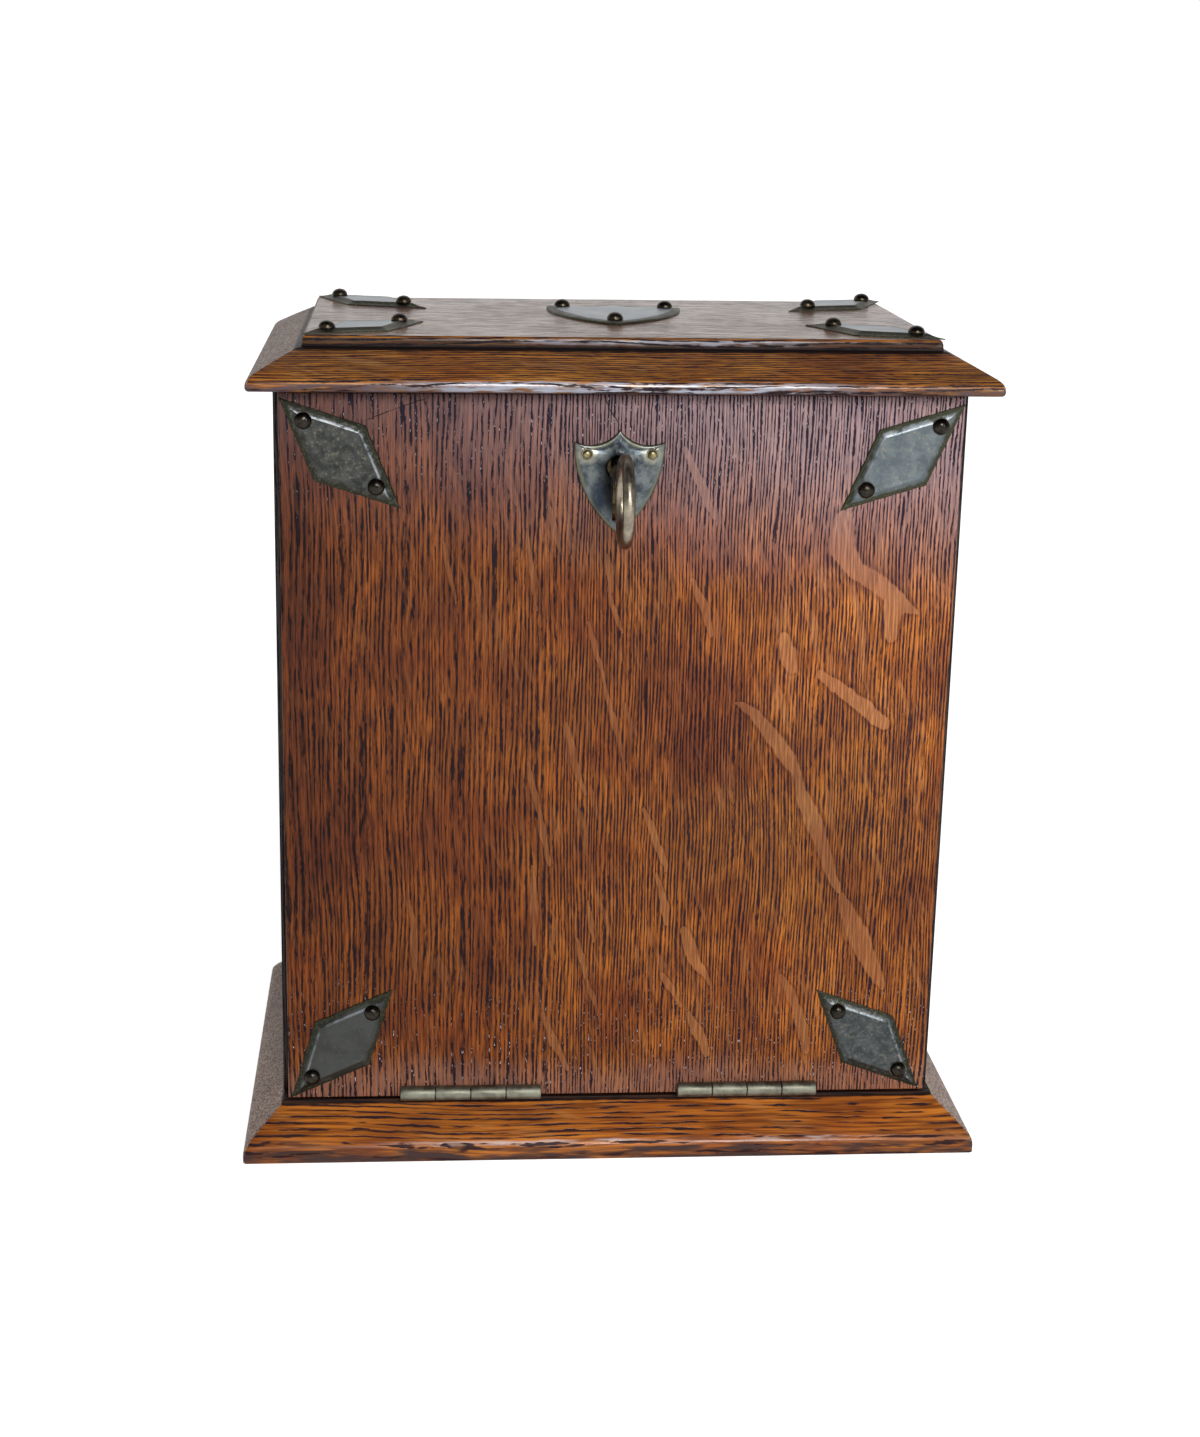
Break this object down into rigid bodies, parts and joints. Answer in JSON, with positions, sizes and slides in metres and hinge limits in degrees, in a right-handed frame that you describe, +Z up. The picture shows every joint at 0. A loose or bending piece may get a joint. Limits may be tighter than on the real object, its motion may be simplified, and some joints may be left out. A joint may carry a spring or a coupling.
{
  "type": "stationery box",
  "caption": "Oak stationery box on a moulded base, with a hinged fall front, a lifting lid with raised field, lozenge metal plates, a shield escutcheon and a ring key in its lock",
  "frame": {"origin": "centre of the base board's underside, where the box rests on a table", "axes": "+X to the right of someone who faces the front, +Y towards the back, +Z up"},
  "size_m": [0.2634, 0.1882, 0.2968],
  "materials": {
    "oak": "old varnished quarter-sawn oak",
    "rack_oak": "waxed oak",
    "plate_pewter": "tarnished grey plating, olive on the bevels",
    "stud_bronze": "dark tarnished dome",
    "pin_brass": "worn brass pin",
    "hinge_nickel": "pale grey-green nickel",
    "key_nickel": "warm worn nickel over brass",
    "lock_brass": "brushed brass",
    "spring_steel": "blued spring",
    "screw_steel": "dull steel",
    "leather": "dark green writing leather"
  },
  "bodies": {
    "case": {"base_board": "oak", "case_left_side": "oak", "case_right_side": "oak", "case_back": "oak", "base_screws": "screw_steel", "divider_back": "rack_oak", "divider_middle": "rack_oak", "divider_front": "rack_oak", "card_partition": "rack_oak", "pen_rail": "rack_oak", "front_hinge_left_base_leaf": "hinge_nickel", "front_hinge_right_base_leaf": "hinge_nickel", "front_hinge_left_pin": "hinge_nickel", "front_hinge_right_pin": "hinge_nickel", "front_hinge_base_screws": "screw_steel", "lid_hinge_left_case_leaf": "hinge_nickel", "lid_hinge_right_case_leaf": "hinge_nickel", "lid_hinge_left_pin": "hinge_nickel", "lid_hinge_right_pin": "hinge_nickel", "lid_hinge_case_screws": "screw_steel"},
    "lid": {"lid_board": "oak", "lid_plate_front_left": "plate_pewter", "lid_plate_front_right": "plate_pewter", "lid_plate_back_left": "plate_pewter", "lid_plate_back_right": "plate_pewter", "lid_studs": "stud_bronze", "lid_shield": "plate_pewter", "lid_shield_studs": "stud_bronze", "lock_keep": "lock_brass", "lock_keep_screws": "screw_steel", "lid_hinge_left_lid_leaf": "hinge_nickel", "lid_hinge_right_lid_leaf": "hinge_nickel", "lid_hinge_lid_screws": "screw_steel"},
    "fall_front": {"front_panel": "oak", "writing_leather": "leather", "front_plate_top_left": "plate_pewter", "front_plate_top_right": "plate_pewter", "front_plate_bottom_left": "plate_pewter", "front_plate_bottom_right": "plate_pewter", "front_studs": "stud_bronze", "escutcheon": "plate_pewter", "escutcheon_pins": "pin_brass", "front_hinge_left_front_leaf": "hinge_nickel", "front_hinge_right_front_leaf": "hinge_nickel", "front_hinge_front_screws": "screw_steel", "lock_plate": "lock_brass", "lock_cap": "lock_brass", "lock_spring": "spring_steel", "lock_screws": "screw_steel"},
    "lock_bolt": {"hook_bolt": "lock_brass"},
    "key": {"key": "key_nickel"}
  },
  "joints": [
    {"name": "fall_front_hinge", "type": "hinge", "parent": "case", "child": "fall_front", "pos_m": [0, -0.0693, 0.0212], "axis": [1, 0, 0], "range_deg": [0, 94]},
    {"name": "lid_hinge", "type": "hinge", "parent": "case", "child": "lid", "pos_m": [0, 0.0682, 0.27605], "axis": [-1, 0, 0], "range_deg": [0, 100]},
    {"name": "key_turn", "type": "hinge", "parent": "fall_front", "child": "lock_bolt", "pos_m": [-0.002, -0.06275, 0.251], "axis": [0, 1, 0], "range_deg": [0, 50]},
    {"name": "key_withdraw", "type": "slide", "parent": "lock_bolt", "child": "key", "axis": [0, -0.9659, -0.2588], "range_m": [0, 0.016]}
  ]
}
